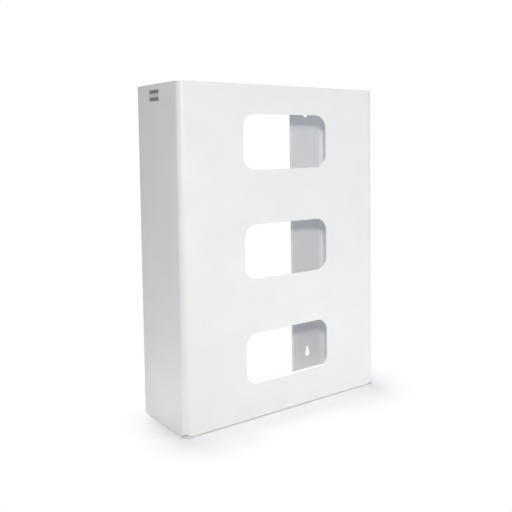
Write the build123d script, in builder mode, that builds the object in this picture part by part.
# Wall dispenser for three boxes of disposable gloves, folded from one steel sheet.
#
# The sheet makes a tall box that is open at the top: a front panel with three windows,
# two side walls, two rear flanges that turn in behind the boxes and end in a hem, and a
# floor folded back from the foot of the front panel. Boxes drop in from above and stack,
# and gloves are pulled out through the windows. Four keyholes in the flanges hang it up.
#
# Millimetres. X runs across the front, +Y goes back to the wall, +Z is up. The origin is
# the centre of the footprint, on the underside of the floor.

from build123d import *
from math import sqrt
import os

# ---- overall, with the stack of boxes that sets the height ----
width = 279.4
depth = 101.6
box_height = 124.3  # one box of gloves, so also the step from window to window
head_room = 7.1  # walls above the top box

# ---- the sheet and its folds ----
sheet = 1.0  # steel with its powder coat
wall_bend_r = 8.0  # outside radius of the four upright bends
floor_bend_r = 2.5  # outside radius of the fold at the foot of the front panel

# ---- rear flanges ----
flange_width = 57.0  # from the side wall's outer face to the nose of the hem
hem_gap = 1.4  # clear space inside the hem
hem_length = 11.0  # from the nose of the hem to the end of its folded leg
hem_mitre = 5.0  # slope at both ends of the folded leg

# ---- floor ----
floor_setback = 15.6  # from the floor's rear edge to the wall behind
floor_seam = 0.15  # between the floor and the walls that stand on it
floor_corner_r = 3.0  # rear corners of the floor

# ---- reliefs at the front corners, where an upright bend would meet the floor's fold ----
relief_rise = 1.4  # top of the round notch above the floor's fold
relief_margin = 0.5  # bend left uncut at each side of the notch, at the walls' foot
floor_notch_margin = 1.0  # square notch in the floor's corner, beyond the bend

# ---- windows ----
window_width = 120.0
window_heights = [62.5, 62.5, 59.3]  # from the top box down
window_corner_r = 15.0
window_drop = 25.9  # from the top of a box to the top of its window

# ---- keyholes ----
key_inset = 29.6  # from the side wall's outer face to a keyhole's centre line
key_top = 26.2  # upper pair's round ends, from the top edge to the centre
key_foot = 22.3  # lower pair's round ends, from the underside of the floor to the centre
key_head_r = 4.0  # round end that passes over a screw's head
key_slot_r = 2.05  # half the width of the slot
key_drop = 8.1  # from the centre of the round end up to the slot's last centre

# ---- worked out from the sizes above ----
height = sheet + len(window_heights) * box_height + head_room
front_y = -depth / 2
back_y = depth / 2
side_x = width / 2
hem_r = sheet + hem_gap / 2  # outside radius of the hem's nose
nose_x = side_x - flange_width
wall_foot = sheet + floor_seam
floor_notch = wall_bend_r + floor_notch_margin
relief_top = floor_bend_r + relief_rise
relief_chord = (wall_bend_r - relief_margin) / sqrt(2)  # half its width at the walls' foot
relief_depth = relief_top - wall_foot
relief_r = (relief_chord**2 + relief_depth**2) / (2 * relief_depth)

# The floor and its fold: one section down the middle, as wide as the dispenser.
with BuildPart() as floor:
    with BuildSketch(Plane.YZ) as floor_section:
        with BuildLine():
            fold = JernArc((front_y, floor_bend_r), (0, -1), floor_bend_r, 90)
            Line(fold @ 1, (back_y - floor_setback, 0))
            offset(amount=sheet, side=Side.LEFT)
        make_face()
    extrude(amount=side_x, both=True)
    fillet(floor.edges().filter_by(Axis.Z).group_by(Axis.Y)[-1], floor_corner_r)

    with BuildSketch() as floor_notches:
        with Locations((-side_x, front_y), (side_x, front_y)):
            Rectangle(2 * floor_notch, 2 * floor_notch)
    extrude(amount=floor_bend_r, mode=Mode.SUBTRACT)

with BuildPart() as dispenser_body:
    # Walls: one section from hem to hem, drawn along its outer face and thickened inwards.
    with BuildSketch(Plane.XY.offset(wall_foot)) as wall_section:
        with BuildLine():
            front = Line((0, front_y), (side_x - wall_bend_r, front_y))
            front_bend = JernArc(front @ 1, front % 1, wall_bend_r, 90)
            side = Line(front_bend @ 1, (side_x, back_y - wall_bend_r))
            rear_bend = JernArc(side @ 1, side % 1, wall_bend_r, 90)
            flange = Line(rear_bend @ 1, (nose_x + hem_r, back_y))
            hem = JernArc(flange @ 1, flange % 1, hem_r, 180)
            Line(hem @ 1, hem @ 1 + Vector(hem_length - hem_r, 0))
            mirror(about=Plane.YZ)
            offset(amount=sheet, side=Side.LEFT)
        make_face()
    extrude(amount=height - wall_foot)

    # The front panel ends where its fold to the floor begins.
    with BuildSketch() as panel_foot:
        with Locations((0, front_y)):
            Rectangle(width, wall_bend_r)
    extrude(amount=floor_bend_r, mode=Mode.SUBTRACT)

    # Each front bend ends in a round notch, cut square through the corner.
    for hand in (-1, 1):
        notch_centre = (hand * side_x, front_y, relief_top - relief_r)
        with BuildSketch(Plane(notch_centre, x_dir=(1, hand, 0), z_dir=(-hand, 1, 0))):
            Circle(relief_r)
        extrude(amount=2 * wall_bend_r, mode=Mode.SUBTRACT)

    # The hem's folded legs are mitred at the top and at the foot.
    leg_plane = Plane.XZ.offset(2 * hem_r - back_y)
    with BuildSketch(leg_plane) as hem_mitres:
        for end_z, slope in ((height, -hem_mitre), (wall_foot, hem_mitre)):
            with BuildLine():
                Polyline(
                    (nose_x + hem_r, end_z),
                    (nose_x + hem_length, end_z),
                    (nose_x + hem_length, end_z + slope),
                    close=True,
                )
            make_face()
        mirror(about=Plane.YZ)
    extrude(amount=-sheet - hem_gap / 2, mode=Mode.SUBTRACT)

    # Windows, counted down from the top box.
    with BuildSketch(Plane.XZ.offset(-front_y)) as windows:
        for boxes_above, window_height in enumerate(window_heights):
            window_z = height - head_room - boxes_above * box_height - window_drop
            with Locations((0, window_z - window_height / 2)):
                RectangleRounded(window_width, window_height, window_corner_r)
    extrude(amount=-2 * sheet, mode=Mode.SUBTRACT)

    # Keyholes: the round end goes over a screw and the slot above it takes the weight.
    with BuildSketch(Plane.XZ.offset(-back_y)) as keyholes:
        for key_z in (key_foot, height - key_top):
            with Locations((key_inset - side_x, key_z), (side_x - key_inset, key_z)):
                Circle(key_head_r)
                with Locations((0, key_drop / 2)):
                    SlotCenterToCenter(key_drop, 2 * key_slot_r, rotation=90)
    extrude(amount=2 * sheet, mode=Mode.SUBTRACT)

    add(floor.part)

dispenser_body.part.label = "dispenser_body"

os.makedirs("parts", exist_ok=True)
export_step(dispenser_body.part, "parts/dispenser_body.step")
